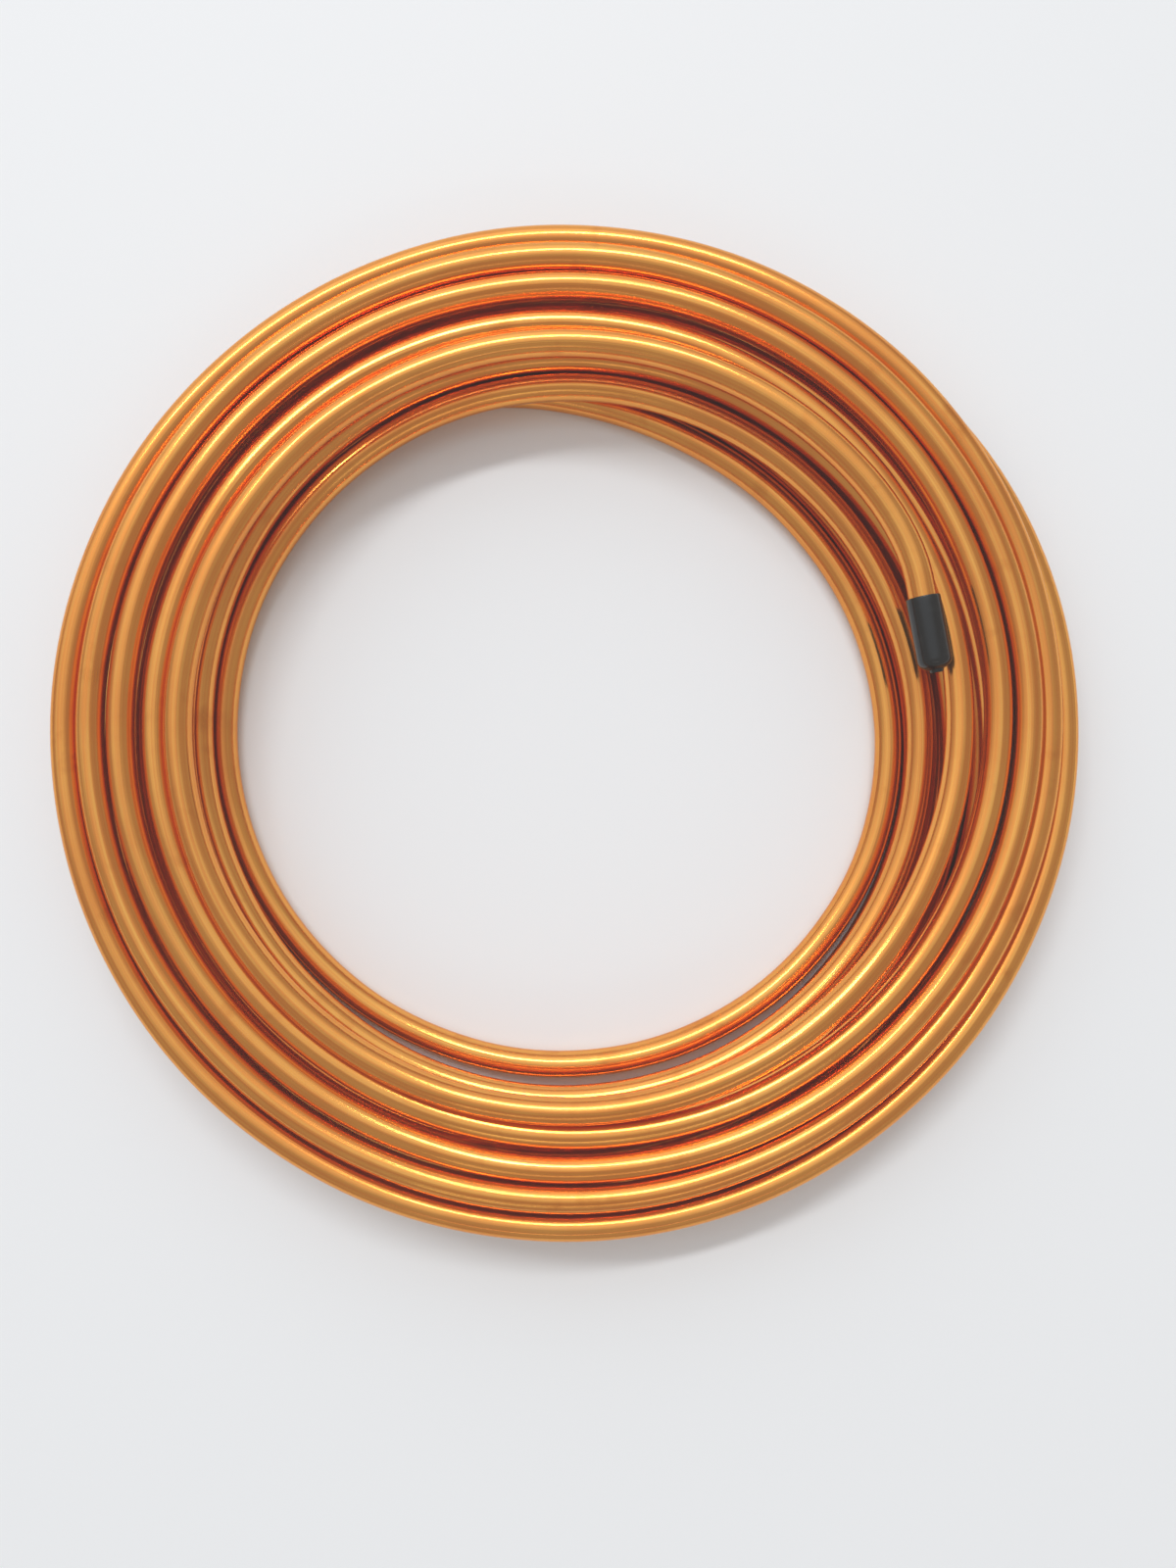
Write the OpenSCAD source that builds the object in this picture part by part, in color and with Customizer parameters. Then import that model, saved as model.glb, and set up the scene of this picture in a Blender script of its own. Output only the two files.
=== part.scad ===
// Coil of soft copper tube: one long tube wound flat in three layers, with a cap on each cut end.
// From its raised upper end it comes down in one turn to the top layer and winds outwards through it,
// dips, winds inwards through the middle layer, drops and winds outwards through the bottom layer.
// Every half-turn is a ring segment that starts and ends on the X axis, where it runs along Y,
// so the segments join smoothly even where one of them is tilted to climb from layer to layer.
// What follows a tilted half-turn is placed from the end of it.

/* [Tube] */
// Outside diameter of the tube
tube_od = 9.525; // [6.35:0.005:12.7]
// Wall of the tube
tube_wall = 0.81; // [0.5:0.01:1.2]

/* [Winding] */
// Clear width of the hole through the coil
bore_d = 222; // [180:1:400]
// Gap between neighbouring turns of a layer
turn_gap = 0.225; // [0.15:0.005:0.6]
// Gap that the spring of the tube keeps between one layer and the next
layer_gap = 2.6; // [2:0.1:4]
// Turns in the top layer
top_turns = 4; // [3:1:5]
// Turns in the middle layer
middle_turns = 5; // [5:1:7]
// Turns in the bottom layer
bottom_turns = 5; // [3:1:5]

/* [Ends] */
// Direction in which both ends leave the coil, counted from the +X axis
end_direction = 27; // [0:0.5:180]
// Height to which the first turn springs off the top layer at its end
upper_end_lift = 6.7; // [6.5:0.1:12]
// Radius of the inward bend just behind the upper cap
bend_radius = 50; // [35:1:90]
// Gap between the lower cap and the floor
floor_gap = 0.1; // [0:0.05:0.3]

/* [End caps] */
// Wall of a cap
cap_wall = 0.9; // [0.6:0.05:1.2]
// Clearance between the tube and the inside of a cap
cap_clearance = 0.05; // [0.02:0.01:0.1]
// Length of tube inside a cap
cap_grip = 22; // [15:0.5:26]
// Thickness of the closed end of a cap
cap_floor = 2.4; // [1.5:0.1:4]
// Radius of the round shoulder of a cap
cap_shoulder = 3.4; // [1.5:0.1:4]
// Width of the blunt nub on the tip of a cap
nub_d = 4.6; // [3:0.1:6]
// Height of the nub
nub_h = 1.3; // [0.5:0.1:2]

/* [Hidden] */
$fn = 96;
copper = [0.78, 0.47, 0.2];
charcoal = [0.16, 0.17, 0.18];

tube_id = tube_od - 2 * tube_wall;
cap_bore_d = tube_od + 2 * cap_clearance;
cap_od = cap_bore_d + 2 * cap_wall;
cap_depth = cap_grip + cap_clearance;
cap_length = cap_depth + cap_floor;

// Spacing of the turns, and the radial steps at the places where the tube changes layer
pitch = tube_od + turn_gap;
half_pitch = pitch / 2;
spring_step = 0.1 * pitch;
tuck_step = 0.14 * pitch;
dip_step = 0.26 * pitch;
duck_step = 0.55 * pitch;
lean_step = 0.27 * pitch;
drop_step = 0.54 * pitch;
clear_step = 0.99 * pitch;
widen_step = 0.72 * pitch;
cap_room = cap_wall + cap_clearance;

// Height from layer to layer, half the lift of the upper end, and the lift that keeps the lower cap
// off the floor
layer_step = tube_od + layer_gap;
half_lift = upper_end_lift / 2;
lower_end_lift = cap_room + floor_gap;

// Distances from the coil's axis where the tube crosses the X axis
bottom_start = (bore_d + tube_od) / 2;
middle_end = bottom_start + drop_step;
function middle_east(turn) = middle_end + lean_step + (middle_turns - turn) * pitch;
function middle_west(turn) = middle_east(turn) - lean_step;
middle_start = middle_west(0) + duck_step;
top_end = middle_start - dip_step;
function top_west(turn) = top_end - (top_turns + 1 - turn) * pitch;
function top_east(turn) = top_west(turn + 1) - half_pitch;
sprung_side = top_west(1) - spring_step;
upper_end = sprung_side - tuck_step;
bottom_widened = bottom_start + clear_step + widen_step;
function bottom_east(turn) = bottom_widened + (turn - 1) * pitch;
function bottom_west(turn) = bottom_east(turn) + half_pitch;
bottom_end = bottom_east(bottom_turns) + cap_room;

// Crossings and spans are kept to a hundredth of a millimetre, so that the segments meet exactly
function to_hundredths(length) = round(length * 100) / 100;

// Places where the tube of each layer crosses the X axis, in the order of winding
top_layer = [
    for (turn = [1 : top_turns])
        each [to_hundredths(top_east(turn)), -to_hundredths(top_west(turn + 1))]
];
middle_layer = [
    for (x = [
        middle_start,
        -middle_west(0),
        for (turn = [1 : middle_turns])
            each [middle_east(turn), -middle_west(turn)]
    ]) to_hundredths(x)
];
bottom_layer = [
    for (x = [
        bottom_start,
        -bottom_start - clear_step,
        for (turn = [1 : bottom_turns - 1])
            each [bottom_east(turn), -bottom_west(turn)]
    ]) to_hundredths(x)
];
function last(list) = list[len(list) - 1];

// Widths of the five tilted half-turns, from joint to joint
function tilted_span(across, rise) = to_hundredths(norm([across, rise]));
upper_span = tilted_span(upper_end + sprung_side, half_lift);
spring_span = tilted_span(sprung_side + top_layer[0], half_lift);
dip_span = tilted_span(middle_layer[0] - last(top_layer), layer_step);
drop_span = tilted_span(bottom_layer[0] - last(middle_layer), layer_step);
lower_span = tilted_span(bottom_end - last(bottom_layer), lower_end_lift);

// Their tilts, kept to cosines of six decimals, so that tilted and flat segments meet exactly too
function tilt(rise, span) = acos(floor(cos(asin(rise / span)) * 1e6) / 1e6);
upper_tilt = tilt(half_lift, upper_span);
spring_tilt = tilt(half_lift, spring_span);
dip_tilt = tilt(layer_step, dip_span);
drop_tilt = tilt(layer_step, drop_span);
lower_tilt = tilt(lower_end_lift, lower_span);

// Angle of the bend behind the upper cap, whose sine and cosine have two decimals for the same reason
bend_angle = asin(0.28);

// Height of the tube's axis in the top layer
top_z = tube_od / 2 + drop_span * sin(drop_tilt) + dip_span * sin(dip_tilt);

// How far the coil reaches from its winding axis in a direction, and the middle of that reach
crossings = concat([upper_end, -sprung_side], top_layer, middle_layer, bottom_layer, [bottom_end]);
function reach(direction) = max([
    for (i = [1 : len(crossings) - 1])
        let (from = crossings[i - 1], to = crossings[i])
        if (sign(from) * sin(direction) > 0)
            abs(to - from) / 2 + (from + to) / 2 * cos(direction)
]);
function reach_middle(direction) = (reach(direction) - reach(direction + 180)) / 2;
coil_middle = [reach_middle(-end_direction), reach_middle(90 - end_direction)];

module tube_section() {
    difference() {
        circle(d = tube_od);
        circle(d = tube_id);
    }
}

// Half a turn that starts at the origin, on the +X side (side 1) or the -X side (side -1) of the coil
module half_turn(span, side) {
    translate([-side * span / 2, 0, 0])
        rotate([0, 0, 90 * (1 - side)])
            rotate_extrude(angle = 180)
                translate([span / 2, 0])
                    tube_section();
}

// Flat half-turns of one layer, with its first crossing at the origin
module layer(turns) {
    for (i = [1 : len(turns) - 1])
        translate([turns[i - 1] - turns[0], 0, 0])
            half_turn(abs(turns[i] - turns[i - 1]), sign(turns[i - 1]));
}

// Half a turn tilted about the joint it starts from
module tilted_turn(span, side, angle) {
    rotate([0, angle, 0])
        half_turn(span, side);
}

// Sets its children level again at the end of a tilted half-turn
module past_tilted_turn(span, side, angle) {
    rotate([0, angle, 0])
        translate([-side * span, 0, 0])
            rotate([0, -angle, 0])
                children();
}

// Turns the winding so that its ends face their direction, with the coil centred on the origin
module placed() {
    translate([-coil_middle[0], -coil_middle[1], 0])
        rotate([0, 0, end_direction])
            translate([top_layer[0], 0, top_z])
                children();
}

// Joints of the tube, each seen from the first crossing of the top layer
module at_sprung_side() {
    past_tilted_turn(spring_span, 1, spring_tilt)
        children();
}

module at_upper_end() {
    at_sprung_side()
        rotate([0, -upper_tilt, 0])
            translate([upper_span, 0, 0])
                children();
}

module at_top_end() {
    translate([last(top_layer) - top_layer[0], 0, 0])
        children();
}

module at_middle_start() {
    at_top_end()
        past_tilted_turn(dip_span, -1, dip_tilt)
            children();
}

module at_middle_end() {
    at_middle_start()
        translate([last(middle_layer) - middle_layer[0], 0, 0])
            children();
}

module at_bottom_start() {
    at_middle_end()
        past_tilted_turn(drop_span, -1, drop_tilt)
            children();
}

module at_bottom_end() {
    at_bottom_start()
        translate([last(bottom_layer) - bottom_layer[0], 0, 0])
            children();
}

module at_lower_end() {
    at_bottom_end()
        past_tilted_turn(lower_span, -1, -lower_tilt)
            children();
}

// Goes on to the end of the inward bend, from the place where it starts
module past_bend() {
    translate([-bend_radius, 0, 0])
        rotate([0, 0, -bend_angle])
            translate([bend_radius, 0, 0])
                children();
}

// Quarter ring, cut off square where the bend ends
module end_bend() {
    beyond = 2 * bend_radius;
    difference() {
        translate([-bend_radius, 0, 0])
            rotate([0, 0, -90])
                rotate_extrude(angle = 90)
                    translate([bend_radius, 0])
                        tube_section();
        past_bend()
            translate([tube_od - beyond, -beyond, -tube_od])
                cube([beyond, beyond, 2 * tube_od]);
    }
}

// Lays a straight piece or a cap along the tube, out of the coil
module leaving(clockwise) {
    rotate([clockwise ? 90 : -90, 0, 0])
        children();
}

module straight_end() {
    linear_extrude(cap_grip)
        tube_section();
}

module copper_tube() {
    color(copper)
        placed() {
            at_upper_end() {
                past_bend() leaving(clockwise = true) straight_end();
                end_bend();
                half_turn(upper_span, 1);
            }
            at_sprung_side() tilted_turn(spring_span, -1, spring_tilt);
            layer(top_layer);
            at_top_end() tilted_turn(dip_span, -1, dip_tilt);
            at_middle_start() layer(middle_layer);
            at_middle_end() tilted_turn(drop_span, -1, drop_tilt);
            at_bottom_start() layer(bottom_layer);
            at_bottom_end() tilted_turn(lower_span, -1, -lower_tilt);
            at_lower_end() leaving(clockwise = false) straight_end();
        }
}

// Half of a cap's outside, with its round shoulder and the nub on its tip
module cap_outline() {
    side = cap_od / 2 - cap_shoulder;
    crown = cap_length - cap_shoulder;
    square([cap_od / 2, crown]);
    square([side, cap_length]);
    translate([side, crown])
        intersection() {
            circle(r = cap_shoulder);
            square(cap_shoulder);
        }
    square([nub_d / 2, cap_length + nub_h]);
}

module cap() {
    mouth_cut = 1;
    difference() {
        rotate_extrude() cap_outline();
        translate([0, 0, -mouth_cut])
            cylinder(d = cap_bore_d, h = cap_depth + mouth_cut);
    }
}

module end_cap() {
    color(charcoal)
        placed()
            at_upper_end() past_bend() leaving(clockwise = true) cap();
}

module far_end_cap() {
    color(charcoal)
        placed()
            at_lower_end() leaving(clockwise = false) cap();
}

copper_tube();
end_cap();
far_end_cap();
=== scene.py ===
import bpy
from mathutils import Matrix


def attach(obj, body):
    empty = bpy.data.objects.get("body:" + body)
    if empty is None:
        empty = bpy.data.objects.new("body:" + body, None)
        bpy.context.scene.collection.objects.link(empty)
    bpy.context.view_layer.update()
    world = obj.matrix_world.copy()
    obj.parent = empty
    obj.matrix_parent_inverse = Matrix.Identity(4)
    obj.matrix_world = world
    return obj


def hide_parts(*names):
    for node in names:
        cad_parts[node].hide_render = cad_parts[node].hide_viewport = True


bl_info = {
    "name": "Copper Tube Coil",
    "version": (1, 0, 0),
    "blender": (4, 5, 0),
    "location": "3D View > Sidebar > Copper Coil",
    "description": "Builds a flat coil of soft copper tube with a vinyl cap on each end",
    "category": "Add Mesh",
}

import math

import bmesh
import bpy
import numpy as np
from bpy.props import FloatProperty, FloatVectorProperty, IntProperty, PointerProperty
from mathutils import Matrix, Vector

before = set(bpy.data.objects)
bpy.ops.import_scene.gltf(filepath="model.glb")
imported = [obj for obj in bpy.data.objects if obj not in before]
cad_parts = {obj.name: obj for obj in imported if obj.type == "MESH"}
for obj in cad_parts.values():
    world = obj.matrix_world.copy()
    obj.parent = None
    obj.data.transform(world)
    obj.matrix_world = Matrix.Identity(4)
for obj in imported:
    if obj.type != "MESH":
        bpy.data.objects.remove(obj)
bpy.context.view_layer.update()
MM = 0.001

# Mouth of each cap and the way the cap points, in millimetres, as the solids have them
UPPER_CAP = ((120.2070, 46.0250, 35.7202), (0.186369, -0.982473, -0.003564))
LOWER_CAP = ((152.2684, 78.0737, 5.8343), (-0.45399, 0.891007, 0.0))

# Lay of the tube, turn by turn from the upper end: angle in degrees, radius and height of its axis in
# millimetres. The first turn springs up, the outer turns slide down, and the last ones lie on the floor.
TURNS = (
    ((25, 130.5, 35.8), (29, 131.6, 35.7), (45, 132.3, 35.4), (90, 132.1, 34.4), (180, 130.7, 33.2),
     (270, 127.8, 32.0)),
    ((0, 134.3, 30.2), (30, 137.8, 27.8), (45, 138.8, 27.7), (90, 140.9, 27.6), (180, 140.0, 27.8),
     (270, 137.0, 28.0)),
    ((0, 147.7, 29.3), (90, 153.4, 29.3), (180, 151.6, 29.3), (270, 148.0, 29.3)),
    ((0, 158.1, 29.3), (90, 163.1, 29.3), (180, 162.1, 29.3), (270, 158.4, 29.3)),
    ((0, 166.7, 24.7), (45, 170.2, 24.95), (90, 171.25, 24.1), (135, 172.0, 24.5), (180, 171.7, 26.4),
     (270, 169.1, 26.0), (315, 171.4, 22.7)),
    ((0, 174.5, 18.6), (36, 173.85, 16.25), (50, 171.6, 15.0), (90, 168.5, 14.7), (180, 168.5, 15.4),
     (270, 167.3, 15.3), (315, 165.3, 15.2)),
    ((0, 164.0, 15.2), (45, 160.0, 15.2), (90, 158.0, 15.2), (180, 157.5, 15.2), (270, 156.5, 15.2),
     (325, 150.2, 15.2)),
    ((0, 146.7, 19.3), (45, 146.7, 19.4), (90, 147.2, 19.5), (180, 146.0, 19.5), (270, 142.6, 19.2),
     (325, 139.9, 16.4)),
    ((0, 136.9, 15.2), (90, 133.4, 15.6), (125, 132.9, 15.6), (150, 131.4, 15.6), (180, 129.2, 15.6),
     (270, 127.9, 15.0)),
    ((0, 125.2, 15.0), (90, 123.5, 14.6), (115, 123.7, 12.8), (135, 123.8, 10.6), (180, 123.4, 6.2),
     (225, 120.5, 4.9), (270, 118.0, 4.8)),
    ((0, 116.5, 4.8), (90, 122.4, 4.8), (100, 126.2, 4.8), (115, 129.8, 4.8), (135, 132.0, 4.8),
     (180, 133.4, 4.8), (225, 132.6, 4.8), (270, 131.4, 4.8)),
    ((0, 126.15, 4.8), (15, 125.35, 4.8), (30, 124.6, 4.8), (45, 124.45, 4.8), (60, 125.35, 4.8),
     (75, 127.8, 4.8), (90, 132.25, 4.8), (100, 136.0, 4.8), (115, 139.6, 4.8), (135, 142.0, 4.8),
     (180, 143.3, 4.8), (225, 142.8, 4.8), (270, 141.4, 4.8)),
    ((0, 135.9, 4.8), (15, 135.1, 4.8), (30, 134.35, 4.8), (45, 134.2, 4.8), (60, 135.1, 4.8),
     (75, 137.6, 4.8), (90, 142.15, 4.8), (100, 145.9, 4.8), (115, 149.4, 4.8), (135, 151.8, 4.8),
     (180, 153.2, 4.8), (225, 152.8, 4.8), (270, 152.0, 4.8)),
    ((0, 151.8, 4.8), (90, 156.0, 4.8), (135, 161.6, 4.8), (180, 163.0, 4.8), (270, 164.0, 4.8)),
    ((0, 167.5, 4.8),),
)

# Waves that the tube strays in, each with its count per turn and its start in radians
WAVES = ((3.37, 0.4), (5.83, 2.1), (9.71, 4.4), (14.3, 1.3))

# Steps of the winding line in degrees, and the gap in millimetres between the lowest turns and the floor
LINE_STEP = 1.2
FLOOR_GAP = 0.01

# How far the bore is hollowed out, as a share of the length in a cap, which hides it
BORE_SHARE = 0.6

# Faces round a cap
CAP_SIDES = 56

# Where the camera stands to the side of the coil's middle, in millimetres, and its lens and sensor
CAMERA_PLACE = (7.86, -16.7)
LENS = 27.045
SENSOR = 36.0

# Direction of the strongest soft light, and half the width of the floor in metres
BRIGHT_WAY = (-0.27, 0.64, 0.66)
FLOOR_REACH = 15

# Lift of the darkest tones, and how often light passes from turn to turn
BLACK_LEVEL = -0.022
BOUNCES = 6


class CoilTubeSettings(bpy.types.PropertyGroup):
    """Sizes and colours of the tube"""
    diameter: FloatProperty(name="Tube Diameter", description="Outside diameter of the tube",
                            default=9.525 * MM, min=0.002, unit="LENGTH")
    wall: FloatProperty(name="Tube Wall", description="Wall thickness of the tube",
                        default=0.81 * MM, min=0.0002, unit="LENGTH")
    grip: FloatProperty(name="Length in Cap", description="Length of tube inside each cap",
                        default=22 * MM, min=0.005, unit="LENGTH")
    sides: IntProperty(name="Sides", description="Faces round the tube", default=24, min=8, max=32)
    ring_spacing: FloatProperty(name="Ring Spacing", description="Distance from ring to ring along the tube",
                                default=4.8 * MM, min=0.003, unit="LENGTH")
    waver: FloatProperty(name="Waver", description="How far the hand-wound tube strays from its lay",
                         default=0.08 * MM, min=0.0, unit="LENGTH")
    bright: FloatVectorProperty(name="Bright Copper", description="Colour of the clean metal",
                                default=(0.94, 0.445, 0.088), size=3, subtype="COLOR", min=0.0, max=1.0)
    tarnished: FloatVectorProperty(name="Tarnish", description="Colour of the metal where it has dulled",
                                   default=(0.83, 0.30, 0.05), size=3, subtype="COLOR", min=0.0, max=1.0)
    stain: FloatVectorProperty(name="Stain", description="Colour of the few brown stains",
                               default=(0.70, 0.23, 0.03), size=3, subtype="COLOR", min=0.0, max=1.0)


class CoilCapSettings(bpy.types.PropertyGroup):
    """Sizes and colour of the caps"""
    diameter: FloatProperty(name="Cap Diameter", description="Outside diameter of a cap",
                            default=11.425 * MM, min=0.003, unit="LENGTH")
    bore: FloatProperty(name="Cap Bore", description="Inside diameter of a cap",
                        default=9.625 * MM, min=0.002, unit="LENGTH")
    depth: FloatProperty(name="Cap Depth", description="Depth of the inside of a cap",
                         default=22.05 * MM, min=0.005, unit="LENGTH")
    length: FloatProperty(name="Cap Length", description="Length of a cap without its nub",
                          default=24.45 * MM, min=0.006, unit="LENGTH")
    shoulder: FloatProperty(name="Cap Shoulder", description="Radius of the rounded closed end",
                            default=3.4 * MM, min=0.0005, unit="LENGTH")
    nub: FloatProperty(name="Nub Diameter", description="Width of the blunt nub on the tip",
                       default=4.6 * MM, min=0.001, unit="LENGTH")
    nub_height: FloatProperty(name="Nub Height", description="Height of the nub",
                              default=1.3 * MM, min=0.0002, unit="LENGTH")
    colour: FloatVectorProperty(name="Vinyl", description="Colour of the vinyl",
                                default=(0.006, 0.0064, 0.007), size=3, subtype="COLOR", min=0.0, max=1.0)


class CoilStageSettings(bpy.types.PropertyGroup):
    """Floor, lights and camera"""
    floor_colour: FloatVectorProperty(name="Floor", description="Colour of the floor",
                                      default=(0.89, 0.915, 0.935), size=3, subtype="COLOR", min=0.0, max=1.0)
    strip_power: FloatProperty(name="Strip Light", description="Power of the narrow light above the far side",
                               default=116.0, min=0.0, subtype="POWER")
    fill_power: FloatProperty(name="Fill Light", description="Power of the weak light from the near side",
                              default=1.5, min=0.0, subtype="POWER")
    far_light: FloatProperty(name="Far Side", description="Strength of the soft light from the far left",
                             default=0.82, min=0.0)
    near_light: FloatProperty(name="Near Side", description="Strength of the soft light from the near side",
                              default=0.42, min=0.0)
    camera_height: FloatProperty(name="Camera Height", description="Height of the camera above the floor",
                                 default=431 * MM, min=0.1, unit="LENGTH")


def finished(piece, nodes):
    """Lets a finished piece stand for its CAD nodes and ride on the body."""
    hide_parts(*nodes)
    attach(piece, "root")


def new_piece(name, mesh):
    """Links a mesh to the scene as an object at the origin."""
    piece = bpy.data.objects.new(name, mesh)
    bpy.context.scene.collection.objects.link(piece)
    return piece


# Winding

def cap_stations(cap, grip, turn, distances):
    """Angle, radius and height of points on the straight tube inside a cap."""
    mouth, way = (np.array(v) for v in cap)
    rows = []
    for share in distances:
        x, y, z = mouth + way * grip * share
        rows.append((math.degrees(math.atan2(y, x)) + 360 * turn, math.hypot(x, y), z))
    return rows


def natural_spline(known, values, wanted):
    """Smooth curve through the values, with no bend at its two ends."""
    count, gaps = len(known), np.diff(known)
    system, right = np.eye(count), np.zeros(count)
    for i in range(1, count - 1):
        system[i, i - 1:i + 2] = gaps[i - 1], 2 * (gaps[i - 1] + gaps[i]), gaps[i]
        right[i] = 6 * ((values[i + 1] - values[i]) / gaps[i] - (values[i] - values[i - 1]) / gaps[i - 1])
    bend = np.linalg.solve(system, right)
    i = np.clip(np.searchsorted(known, wanted) - 1, 0, count - 2)
    past, left, gap = wanted - known[i], known[i + 1] - wanted, gaps[i]
    return ((bend[i] * left ** 3 + bend[i + 1] * past ** 3) / (6 * gap)
            + (values[i] / gap - bend[i] * gap / 6) * left
            + (values[i + 1] / gap - bend[i + 1] * gap / 6) * past)


def winding_points(tube):
    """Points along the axis of the whole tube, in metres, from the upper end to the lower one."""
    grip = tube.grip / MM
    rows = cap_stations(UPPER_CAP, grip, 0, (1, 0.5, 0))
    for turn, places in enumerate(TURNS):
        rows += [(angle + 360 * turn, radius, height) for angle, radius, height in places]
    rows += cap_stations(LOWER_CAP, grip, len(TURNS) - 1, (0, 0.5, 1))
    known, radii, heights = np.array(rows).T
    angles = np.linspace(known[0], known[-1], int((known[-1] - known[0]) / LINE_STEP))
    radius = natural_spline(known, radii, angles)
    height = np.maximum(natural_spline(known, heights, angles), tube.diameter / MM / 2 + FLOOR_GAP)
    # Near its two ends the tube keeps to its lay, so that it enters the caps straight
    free = np.clip((angles - 40) / 30, 0, 1) * np.clip((known[-1] - angles - 60) / 30, 0, 1)
    stray = sum(np.sin(np.radians(angles * count) + start) for count, start in WAVES) / 2
    radius = radius + free * stray * tube.waver / MM
    turns = np.radians(angles)
    return np.stack([radius * np.cos(turns), radius * np.sin(turns), height], 1) * MM


def tube_nodes():
    """Geometry Nodes that sweep a round tube along a curve and store where each point of it lies."""
    tree = bpy.data.node_groups.new("Tube Along Winding", "GeometryNodeTree")
    face = tree.interface
    face.new_socket("Winding", in_out="INPUT", socket_type="NodeSocketGeometry")
    for name, kind in (("Diameter", "NodeSocketFloat"), ("Ring Spacing", "NodeSocketFloat"),
                       ("Sides", "NodeSocketInt"), ("Metal", "NodeSocketMaterial")):
        face.new_socket(name, in_out="INPUT", socket_type=kind)
    face.new_socket("Tube", in_out="OUTPUT", socket_type="NodeSocketGeometry")

    def add(kind, **settings):
        node = tree.nodes.new(kind)
        for key, value in settings.items():
            setattr(node, key, value)
        return node

    link = tree.links.new
    given, result = add("NodeGroupInput"), add("NodeGroupOutput")
    rings = add("GeometryNodeResampleCurve", mode="LENGTH")
    upright = add("GeometryNodeSetCurveNormal", mode="Z_UP")
    along = add("GeometryNodeSplineParameter")
    mark_along = add("GeometryNodeStoreNamedAttribute", data_type="FLOAT", domain="POINT")
    mark_along.inputs["Name"].default_value = "tube_along"
    circle = add("GeometryNodeCurvePrimitiveCircle", mode="RADIUS")
    half = add("ShaderNodeMath", operation="MULTIPLY")
    half.inputs[1].default_value = 0.5
    place = add("GeometryNodeInputPosition")
    across = add("ShaderNodeVectorMath", operation="NORMALIZE")
    mark_across = add("GeometryNodeStoreNamedAttribute", data_type="FLOAT_VECTOR", domain="POINT")
    mark_across.inputs["Name"].default_value = "tube_across"
    sweep = add("GeometryNodeCurveToMesh")
    sweep.inputs["Fill Caps"].default_value = True
    smooth = add("GeometryNodeSetShadeSmooth")
    real = add("GeometryNodeRealizeInstances")
    finish = add("GeometryNodeSetMaterial")

    link(given.outputs["Winding"], rings.inputs["Curve"])
    link(given.outputs["Ring Spacing"], rings.inputs["Length"])
    link(rings.outputs["Curve"], upright.inputs["Curve"])
    link(upright.outputs["Curve"], mark_along.inputs["Geometry"])
    link(along.outputs["Length"], mark_along.inputs["Value"])
    link(given.outputs["Diameter"], half.inputs[0])
    link(half.outputs[0], circle.inputs["Radius"])
    link(given.outputs["Sides"], circle.inputs["Resolution"])
    link(circle.outputs["Curve"], mark_across.inputs["Geometry"])
    link(place.outputs["Position"], across.inputs[0])
    link(across.outputs["Vector"], mark_across.inputs["Value"])
    link(mark_along.outputs["Geometry"], sweep.inputs["Curve"])
    link(mark_across.outputs["Geometry"], sweep.inputs["Profile Curve"])
    link(sweep.outputs["Mesh"], smooth.inputs["Geometry"])
    link(smooth.outputs["Geometry"], real.inputs["Geometry"])
    link(real.outputs["Geometry"], finish.inputs["Geometry"])
    link(given.outputs["Metal"], finish.inputs["Material"])
    link(finish.outputs["Geometry"], result.inputs["Tube"])
    return tree


def swept_tube(tube, metal):
    """Sweeps the tube along its winding and returns it as a plain mesh."""
    points = winding_points(tube)
    curve = bpy.data.curves.new("Winding", "CURVE")
    curve.dimensions = "3D"
    line = curve.splines.new("POLY")
    line.points.add(len(points) - 1)
    line.points.foreach_set("co", np.column_stack([points, np.ones(len(points))]).ravel())
    holder = new_piece("winding_line", curve)
    tree = tube_nodes()
    sweep = holder.modifiers.new("Tube", "NODES")
    sweep.node_group = tree
    values = {"Diameter": tube.diameter, "Ring Spacing": tube.ring_spacing, "Sides": tube.sides,
              "Metal": metal}
    for socket in tree.interface.items_tree:
        if socket.in_out == "INPUT" and socket.name in values:
            sweep[socket.identifier] = values[socket.name]
    seen = holder.evaluated_get(bpy.context.evaluated_depsgraph_get())
    mesh = bpy.data.meshes.new_from_object(seen)
    holder.modifiers.clear()
    bpy.data.objects.remove(holder)
    bpy.data.curves.remove(curve)
    return mesh


def open_ends(mesh, wall, depth):
    """Turns the two closed ends of the tube into the start of its bore."""
    work = bmesh.new()
    work.from_mesh(mesh)
    bmesh.ops.recalc_face_normals(work, faces=work.faces[:])
    ends = [face for face in work.faces if len(face.verts) > 4]
    if len(ends) != 2:
        raise RuntimeError(f"the tube has {len(ends)} closed ends, not two")
    for end in ends:
        inwards = -end.normal * depth
        bmesh.ops.inset_individual(work, faces=[end], thickness=wall, use_even_offset=True)
        made = bmesh.ops.extrude_face_region(work, geom=[end])
        moved = [part for part in made["geom"] if isinstance(part, bmesh.types.BMVert)]
        bmesh.ops.translate(work, vec=inwards, verts=moved)
        if end.is_valid:
            work.faces.remove(end)
    bmesh.ops.recalc_face_normals(work, faces=work.faces[:])
    work.to_mesh(mesh)
    work.free()


# Finishes

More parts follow.
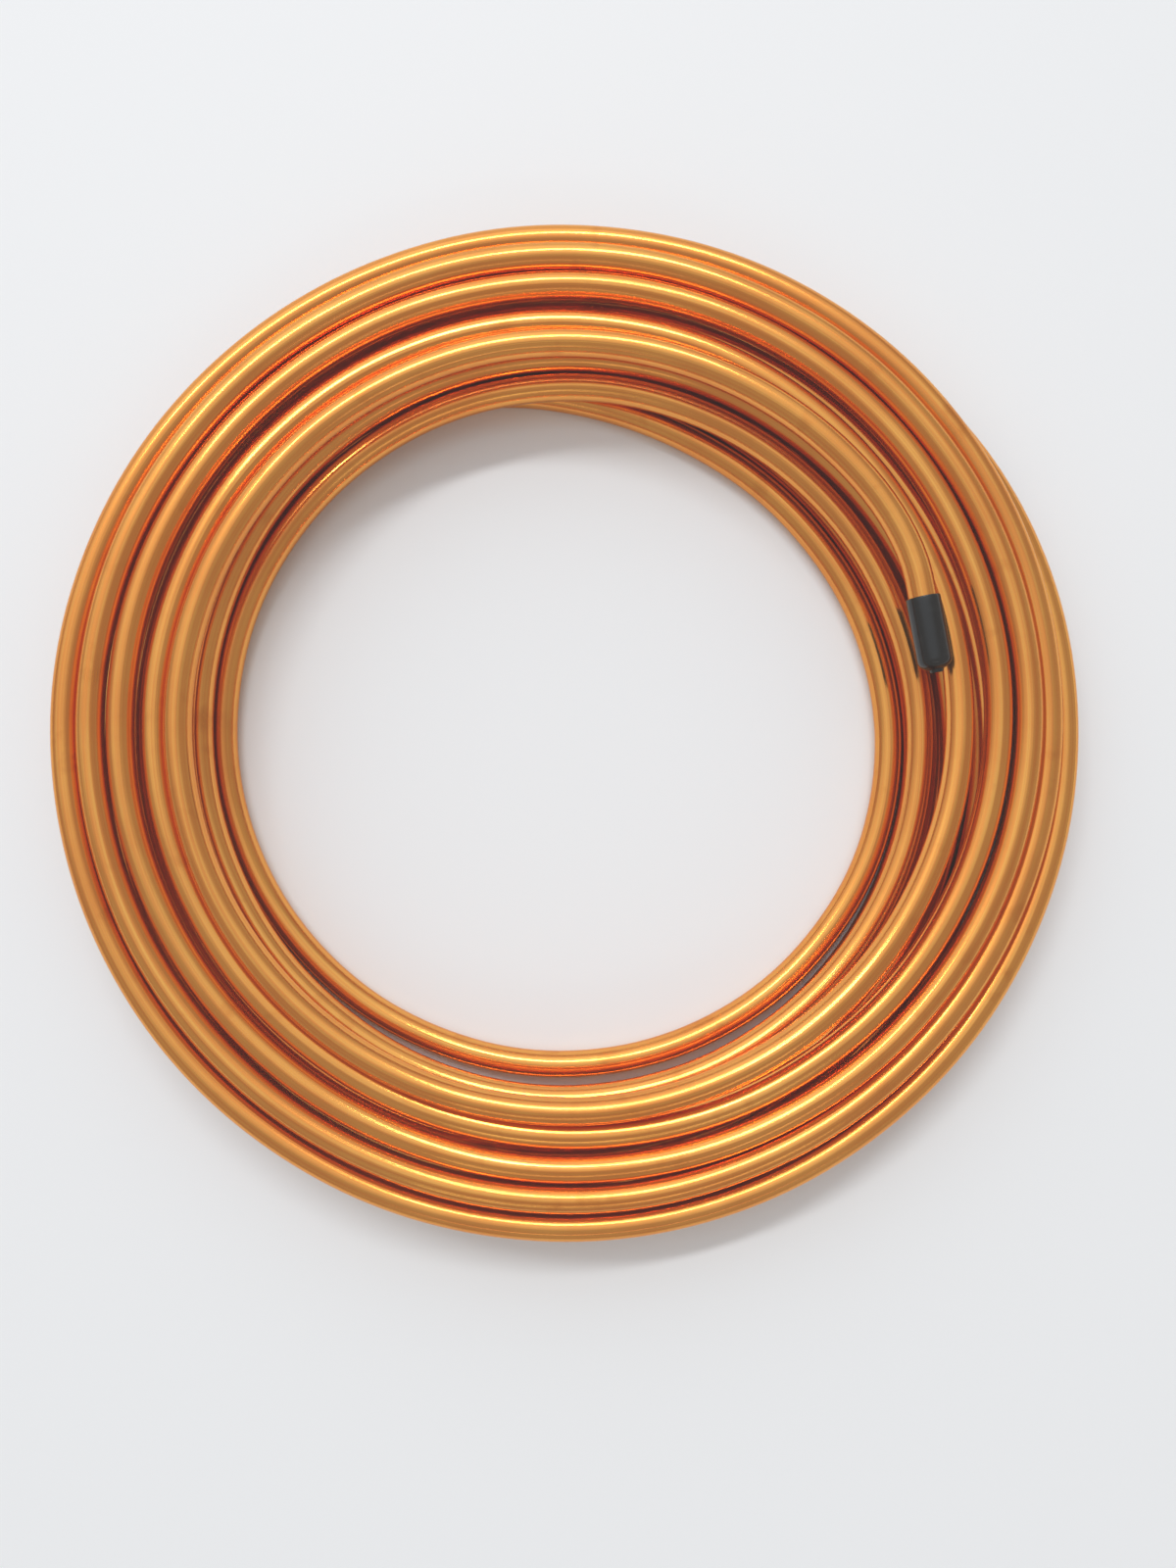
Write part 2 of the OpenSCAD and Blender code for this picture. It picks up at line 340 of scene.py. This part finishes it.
class Finish:
    """A material under construction, with short ways to add and join its nodes."""

    def __init__(self, name):
        self.material = bpy.data.materials.new(name)
        self.material.use_nodes = True
        self.tree = self.material.node_tree
        self.shader = self.tree.nodes["Principled BSDF"]

    def add(self, kind, inputs=None, **settings):
        """Adds a node, sets its options, and fills its inputs with values or links."""
        node = self.tree.nodes.new(kind)
        for key, value in settings.items():
            setattr(node, key, value)
        for key, value in (inputs or {}).items():
            if isinstance(value, bpy.types.NodeSocket):
                self.tree.links.new(value, node.inputs[key])
            else:
                node.inputs[key].default_value = value
        return node

    def to_shader(self, socket, output):
        """Links an output to a socket of the surface shader."""
        self.tree.links.new(output, self.shader.inputs[socket])

    def noise(self, vector, scale, detail=2.0, roughness=0.5):
        """Noise from 0 to 1 at the places that the vector gives."""
        made = self.add("ShaderNodeTexNoise", {"Vector": vector, "Scale": scale, "Detail": detail,
                                               "Roughness": roughness})
        return made.outputs["Fac"]

    def span(self, value, low, high, to_low=0.0, to_high=1.0):
        """Stretches the range from low to high to another one, and holds the rest at its ends."""
        made = self.add("ShaderNodeMapRange", {"Value": value, "From Min": low, "From Max": high,
                                               "To Min": to_low, "To Max": to_high})
        return made.outputs["Result"]

    def blend(self, share, first, second):
        """Mixes two colours. Of a Mix node's sockets, those numbered here are the ones for colours."""
        made = self.add("ShaderNodeMix", data_type="RGBA")
        for socket, value in ((made.inputs[0], share), (made.inputs[6], first), (made.inputs[7], second)):
            if isinstance(value, bpy.types.NodeSocket):
                self.tree.links.new(value, socket)
            else:
                socket.default_value = (*value, 1.0)
        return made.outputs[2]

    def sum(self, first, second):
        """Adds two values."""
        return self.worked_out("ADD", first, second)

    def times(self, first, second):
        """Multiplies two values."""
        return self.worked_out("MULTIPLY", first, second)

    def worked_out(self, operation, first, second):
        """Works out two values with a Math node."""
        made = self.add("ShaderNodeMath", operation=operation)
        for socket, value in zip(made.inputs, (first, second)):
            if isinstance(value, bpy.types.NodeSocket):
                self.tree.links.new(value, socket)
            else:
                socket.default_value = value
        return made.outputs[0]


def drawn_copper(tube):
    """Bright drawn copper, with fine lines along the tube and faint dull patches."""
    finish = Finish("drawn_copper")
    finish.shader.inputs["Metallic"].default_value = 0.94
    finish.shader.inputs["Specular Tint"].default_value = (1.0, 0.72, 0.46, 1.0)
    finish.shader.inputs["Coat Weight"].default_value = 0.3
    finish.shader.inputs["Coat Roughness"].default_value = 0.06
    across = finish.add("ShaderNodeAttribute", attribute_name="tube_across").outputs["Vector"]
    along = finish.add("ShaderNodeAttribute", attribute_name="tube_along").outputs["Fac"]
    parts = finish.add("ShaderNodeSeparateXYZ", {"Vector": across})
    # The length counts for little in these coordinates, so that noise is drawn out into lines along the tube
    slow = finish.times(along, 0.4)
    lay = finish.add("ShaderNodeCombineXYZ", {"X": parts.outputs["X"], "Y": parts.outputs["Y"], "Z": slow})
    place = finish.add("ShaderNodeTexCoord").outputs["Object"]

    lines = finish.noise(lay.outputs["Vector"], 4.2, 4.0, 0.65)
    streaks = finish.noise(lay.outputs["Vector"], 2.6, 3.0, 0.6)
    patches = finish.noise(place, 24.0, 4.0, 0.6)
    # Broad patches and fine lines where the metal has dulled, and a few small brown stains
    broad = finish.span(finish.sum(patches, finish.times(streaks, 0.9)), 0.80, 1.12, 0.0, 0.55)
    dulled = finish.sum(broad, finish.span(lines, 0.38, 0.62, 0.0, 0.75))
    stained = finish.span(finish.noise(place, 60.0, 3.0, 0.55), 0.61, 0.76, 0.0, 0.75)
    clean = finish.blend(dulled, tube.bright, tube.tarnished)
    finish.to_shader("Base Color", finish.blend(stained, clean, tube.stain))
    roughened = finish.sum(finish.times(dulled, 0.06), finish.times(stained, 0.12))
    finish.to_shader("Roughness", finish.sum(finish.span(lines, 0.3, 0.7, 0.08, 0.17), roughened))
    bump = finish.add("ShaderNodeBump", {"Height": lines, "Strength": 0.22, "Distance": 0.0004})
    finish.to_shader("Normal", bump.outputs["Normal"])
    return finish.material


def dipped_vinyl(cap):
    """Satin charcoal vinyl with a slightly uneven skin."""
    finish = Finish("dipped_vinyl")
    place = finish.add("ShaderNodeTexCoord").outputs["Object"]
    grain = finish.noise(place, 1600.0, 3.0, 0.6)
    scuffs = finish.noise(place, 210.0, 4.0, 0.65)
    worn = finish.span(scuffs, 0.5, 0.8)
    paler = tuple(min(1.0, part * 1.8 + 0.004) for part in cap.colour)
    finish.to_shader("Base Color", finish.blend(worn, cap.colour, paler))
    finish.to_shader("Roughness", finish.span(scuffs, 0.3, 0.7, 0.14, 0.22))
    bump = finish.add("ShaderNodeBump", {"Height": grain, "Strength": 0.12, "Distance": 0.0002})
    finish.to_shader("Normal", bump.outputs["Normal"])
    return finish.material


# Caps

def arc(centre, radius, start, end, steps):
    """Points of an arc in the half section of a cap: distance from its axis, distance from its mouth."""
    return [(centre[0] + radius * math.cos(math.radians(start + (end - start) * i / steps)),
             centre[1] + radius * math.sin(math.radians(start + (end - start) * i / steps)))
            for i in range(steps + 1)]


def cap_section(cap):
    """Half section of a cap, from the floor of its bore, round its mouth and over its tip."""
    outer, inner, tip = cap.diameter / 2, cap.bore / 2, cap.nub / 2
    # Radii of the mouth's lip, of the hollow round the nub and of the nub's edge, and the bore's corner
    lip, ease, edge, corner = 0.38 * MM, 0.85 * MM, 0.42 * MM, 0.8 * MM
    crown = cap.length - cap.shoulder
    top = cap.length + cap.nub_height
    section = [(0.0, cap.depth), (inner - corner, cap.depth), (inner, cap.depth - corner),
               (inner, cap.depth * 0.5), (inner, lip)]
    section += arc((inner + lip, lip), lip, 180, 270, 4)[1:]
    section += arc((outer - lip, lip), lip, 270, 360, 4)
    section += [(outer, crown * share) for share in (0.1, 0.3, 0.5, 0.7, 0.9)]
    section += arc((outer - cap.shoulder, crown), cap.shoulder, 0, 70, 10)
    section += [(tip + ease, cap.length - 0.02 * MM)]
    section += arc((tip + ease, cap.length + ease), ease, 260, 180, 6)
    section += arc((tip - edge, top - edge), edge, 0, 90, 5)
    section += [(tip * 0.4, top), (0.0, top)]
    return section


def cap_mesh(name, cap, place):
    """Turns the half section round the cap's axis and sets it on its mouth."""
    mouth, way = (Vector(v) for v in place)
    turn = way.to_track_quat("Z", "Y").to_matrix().to_4x4()
    stand = Matrix.Translation(mouth * MM) @ turn
    work = bmesh.new()
    angles = [math.tau * k / CAP_SIDES for k in range(CAP_SIDES)]
    rings = []
    for radius, distance in cap_section(cap):
        # A ring on the axis is a single point
        used = angles if radius > 1e-7 else angles[:1]
        rings.append([work.verts.new((radius * math.cos(angle), radius * math.sin(angle), distance))
                      for angle in used])
    for first, second in zip(rings, rings[1:]):
        for k in range(CAP_SIDES):
            corners = [first[k % len(first)], first[(k + 1) % len(first)],
                       second[(k + 1) % len(second)], second[k % len(second)]]
            work.faces.new(list(dict.fromkeys(corners)))
    bmesh.ops.transform(work, matrix=stand, verts=work.verts[:])
    bmesh.ops.recalc_face_normals(work, faces=work.faces[:])
    mesh = bpy.data.meshes.new(name)
    work.to_mesh(mesh)
    work.free()
    mesh.shade_smooth()
    return mesh


# Stage

def soft_room(tree, stage):
    """Soft light from all round, warm and weak from the near side, white and strong from the far left."""
    look = tree.nodes.new("ShaderNodeTexCoord").outputs["Generated"]
    lean = tree.nodes.new("ShaderNodeVectorMath")
    lean.operation = "DOT_PRODUCT"
    lean.inputs[1].default_value = BRIGHT_WAY
    tree.links.new(look, lean.inputs[0])
    ramp = tree.nodes.new("ShaderNodeValToRGB")
    tree.links.new(lean.outputs["Value"], ramp.inputs["Fac"])
    ramp.color_ramp.interpolation = "EASE"
    stops = ramp.color_ramp.elements
    stops.new(0.74)
    for stop, place, strength, tint in (
            (stops[0], 0.48, stage.near_light, (1.0, 0.9, 0.81)),
            (stops[1], 0.74, stage.far_light, (0.96, 1.0, 1.04)),
            (stops[2], 0.95, stage.far_light * 1.6, (0.96, 1.0, 1.07))):
        stop.position = place
        stop.color = (*(part * strength for part in tint), 1.0)
    tree.links.new(ramp.outputs["Color"], tree.nodes["Background"].inputs["Color"])


# Operators

class COIL_OT_wind_tube(bpy.types.Operator):
    """Winds the copper tube into its coil"""
    bl_idname = "coil.wind_tube"
    bl_label = "Wind Copper Tube"

    def execute(self, context):
        tube = context.scene.coil_tube
        mesh = swept_tube(tube, drawn_copper(tube))
        if len(mesh.polygons) < 1000:
            raise RuntimeError("the winding gave no tube")
        open_ends(mesh, tube.wall, tube.grip * BORE_SHARE)
        finished(new_piece("wound_tube", mesh), ["copper_tube"])
        return {"FINISHED"}


class COIL_OT_fit_caps(bpy.types.Operator):
    """Pushes a vinyl cap on each end of the tube"""
    bl_idname = "coil.fit_caps"
    bl_label = "Fit End Caps"

    def execute(self, context):
        cap = context.scene.coil_cap
        vinyl = dipped_vinyl(cap)
        for name, node, place in (("upper_cap", "end_cap", UPPER_CAP),
                                  ("lower_cap", "far_end_cap", LOWER_CAP)):
            mesh = cap_mesh(name, cap, place)
            mesh.materials.append(vinyl)
            finished(new_piece(name, mesh), [node])
        return {"FINISHED"}


class COIL_OT_set_stage(bpy.types.Operator):
    """Lays the floor and sets the lights and the camera"""
    bl_idname = "coil.set_stage"
    bl_label = "Set Stage"

    def execute(self, context):
        scene, stage = context.scene, context.scene.coil_stage
        mesh = bpy.data.meshes.new("floor")
        reach = FLOOR_REACH
        corners = [(-reach, -reach, 0), (reach, -reach, 0), (reach, reach, 0), (-reach, reach, 0)]
        mesh.from_pydata(corners, [], [(0, 1, 2, 3)])
        surface = Finish("pale_floor")
        surface.shader.inputs["Base Color"].default_value = (*stage.floor_colour, 1.0)
        surface.shader.inputs["Roughness"].default_value = 0.6
        mesh.materials.append(surface.material)
        floor = new_piece("floor", mesh)

        world = bpy.data.worlds.new("room")
        world.use_nodes = True
        soft_room(world.node_tree, stage)
        scene.world = world
        scene.view_settings.view_transform = "Standard"
        scene.view_settings.use_curve_mapping = True
        scene.view_settings.curve_mapping.black_level = (BLACK_LEVEL, BLACK_LEVEL, BLACK_LEVEL)
        scene.view_settings.curve_mapping.update()
        scene.cycles.max_bounces = scene.cycles.glossy_bounces = BOUNCES

        for name, power, width, height, place in (
                ("strip_light", stage.strip_power, 4.4, 0.36, (-0.9, 3.2, 4.7)),
                ("fill_light", stage.fill_power, 2.0, 0.2, (0.3, -1.9, 1.9))):
            light = bpy.data.lights.new(name, "AREA")
            light.shape, light.size, light.size_y, light.energy = "RECTANGLE", width, height, power
            lamp = bpy.data.objects.new(name, light)
            lamp.location = place
            lamp.rotation_euler = (-lamp.location).to_track_quat("-Z", "Y").to_euler()
            scene.collection.objects.link(lamp)

        lens = bpy.data.cameras.new("camera")
        lens.sensor_fit, lens.sensor_height, lens.sensor_width = "VERTICAL", SENSOR, SENSOR
        lens.lens = LENS
        lens.clip_start = 0.01
        camera = bpy.data.objects.new("camera", lens)
        camera.location = (CAMERA_PLACE[0] * MM, CAMERA_PLACE[1] * MM, stage.camera_height)
        scene.collection.objects.link(camera)
        scene.camera = camera
        return {"FINISHED"}


class COIL_PT_panel(bpy.types.Panel):
    """Lists the steps and sizes of the coil"""
    bl_idname = "COIL_PT_panel"
    bl_label = "Copper Coil"
    bl_space_type = "VIEW_3D"
    bl_region_type = "UI"
    bl_category = "Copper Coil"

    def draw(self, context):
        for operator, settings in ((COIL_OT_wind_tube, context.scene.coil_tube),
                                   (COIL_OT_fit_caps, context.scene.coil_cap),
                                   (COIL_OT_set_stage, context.scene.coil_stage)):
            box = self.layout.box()
            box.operator(operator.bl_idname)
            for name in settings.__annotations__:
                box.prop(settings, name)


SETTINGS = {"coil_tube": CoilTubeSettings, "coil_cap": CoilCapSettings, "coil_stage": CoilStageSettings}
CLASSES = (*SETTINGS.values(), COIL_OT_wind_tube, COIL_OT_fit_caps, COIL_OT_set_stage, COIL_PT_panel)


def register():
    for cls in CLASSES:
        bpy.utils.register_class(cls)
    for name, group in SETTINGS.items():
        setattr(bpy.types.Scene, name, PointerProperty(type=group))


def unregister():
    for name in SETTINGS:
        delattr(bpy.types.Scene, name)
    for cls in reversed(CLASSES):
        bpy.utils.unregister_class(cls)


def main():
    register()
    bpy.ops.coil.wind_tube()
    bpy.ops.coil.fit_caps()
    bpy.ops.coil.set_stage()


if __name__ == "__main__":
    main()
